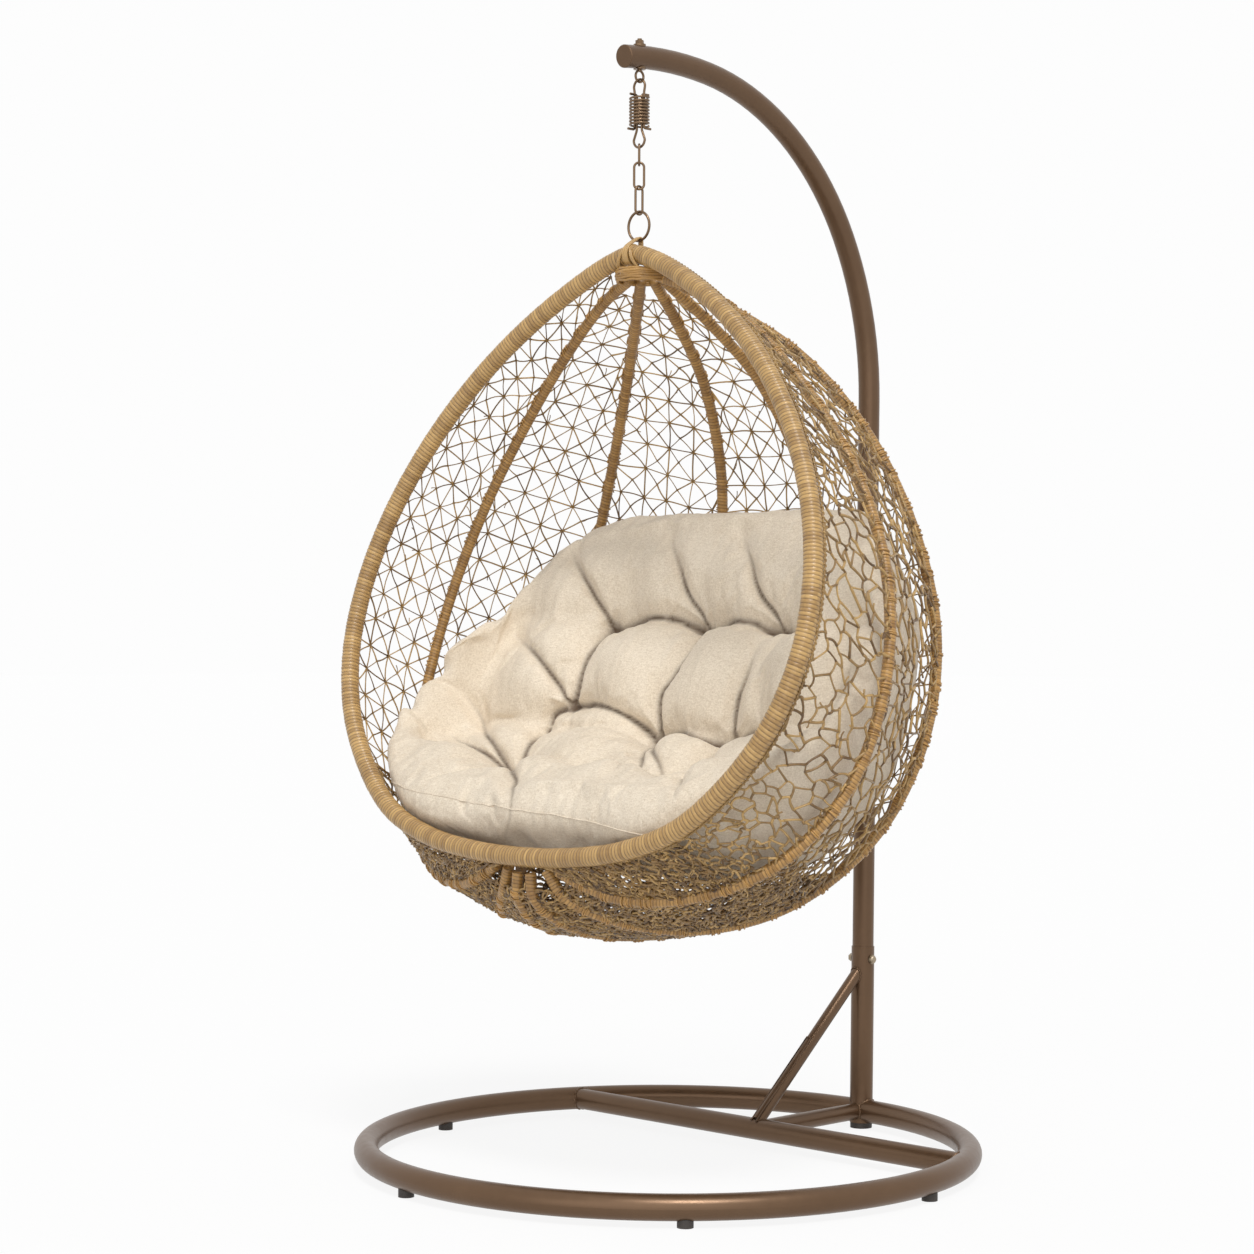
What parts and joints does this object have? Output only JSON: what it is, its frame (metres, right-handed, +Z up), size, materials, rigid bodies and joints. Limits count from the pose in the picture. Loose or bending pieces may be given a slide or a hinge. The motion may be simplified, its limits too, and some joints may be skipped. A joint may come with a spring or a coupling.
{
  "type": "hanging egg chair",
  "caption": "Hanging egg chair with a round-based curved steel stand, a sprung chain, a caned teardrop basket with a woven net and a large tufted cushion.",
  "frame": {"origin": "on the floor, under the centre of the base ring", "axes": "+Z up, the open front of the basket towards -Y, the post at the back towards +Y"},
  "size_m": [1.0994, 1.0842, 1.9192],
  "materials": {
    "steel_coat": "satin",
    "bronze_metal": "satin",
    "zinc": "satin",
    "dark_plastic": "satin",
    "cane": "satin",
    "weave": "satin",
    "cushion_cloth": "matte"
  },
  "bodies": {
    "stand": {"base_ring": "steel_coat", "crossbar": "steel_coat", "foot_strut": "steel_coat", "brace": "steel_coat", "post": "steel_coat", "arm": "steel_coat", "arm_end_cap": "dark_plastic", "joint_bolt": "zinc", "joint_washers": "zinc", "joint_nut": "zinc", "foot_glides": "dark_plastic", "post_glide": "dark_plastic", "eye_bolt": "bronze_metal", "eye_washers": "bronze_metal", "eye_nut": "bronze_metal"},
    "spring_top": {"spring_upper_drawbar": "bronze_metal", "spring_coil": "bronze_metal"},
    "spring_pull": {"spring_lower_drawbar": "bronze_metal"},
    "upper_link": {"chain_link_a": "bronze_metal"},
    "middle_link": {"chain_link_b": "bronze_metal"},
    "lower_link": {"chain_link_c": "bronze_metal"},
    "ring": {"hanging_ring": "bronze_metal"},
    "basket": {"apex_lashing": "cane", "rib_collar": "cane", "front_hoop": "cane", "rib_side_right": "cane", "rib_side_left": "cane", "rib_flank_right": "cane", "rib_flank_left": "cane", "rib_rear_right": "cane", "rib_rear_left": "cane", "net_side_right": "weave", "net_flank_right": "weave", "net_quarter_right": "weave", "net_back": "weave", "net_quarter_left": "weave", "net_flank_left": "weave", "net_side_left": "weave", "cushion": "cushion_cloth"}
  },
  "joints": [
    {"name": "swing_fore_aft", "type": "hinge", "parent": "stand", "child": "spring_top", "pos_m": [0, -0.08, 1.85513], "axis": [-1, 0, 0], "range_deg": [-8, 18]},
    {"name": "spring_bounce", "type": "slide", "parent": "spring_top", "child": "spring_pull", "axis": [0, 0, -1], "range_m": [0, 0.012], "stiffness_N_per_m": 40000, "springref_m": -0.01, "deforming": ["spring_coil"]},
    {"name": "swing_side", "type": "hinge", "parent": "spring_pull", "child": "upper_link", "pos_m": [0, -0.08, 1.74773], "axis": [0, 1, 0], "range_deg": [-8, 8]},
    {"name": "chain_bend_upper", "type": "hinge", "parent": "upper_link", "child": "middle_link", "pos_m": [0, -0.08, 1.71303], "axis": [0.7193, 0.6947, 0], "range_deg": [-4, 4]},
    {"name": "chain_bend_lower", "type": "hinge", "parent": "middle_link", "child": "lower_link", "pos_m": [0, -0.08, 1.67223], "axis": [-0.6947, 0.7193, 0], "range_deg": [-4, 4]},
    {"name": "chain_twist", "type": "hinge", "parent": "lower_link", "child": "ring", "pos_m": [0, -0.08, 1.62103], "axis": [0, 0, 1], "range_deg": [-15, 15]},
    {"name": "basket_rock", "type": "hinge", "parent": "ring", "child": "basket", "pos_m": [0, -0.08, 1.57633], "axis": [-1, 0, 0], "range_deg": [-3, 5]}
  ]
}
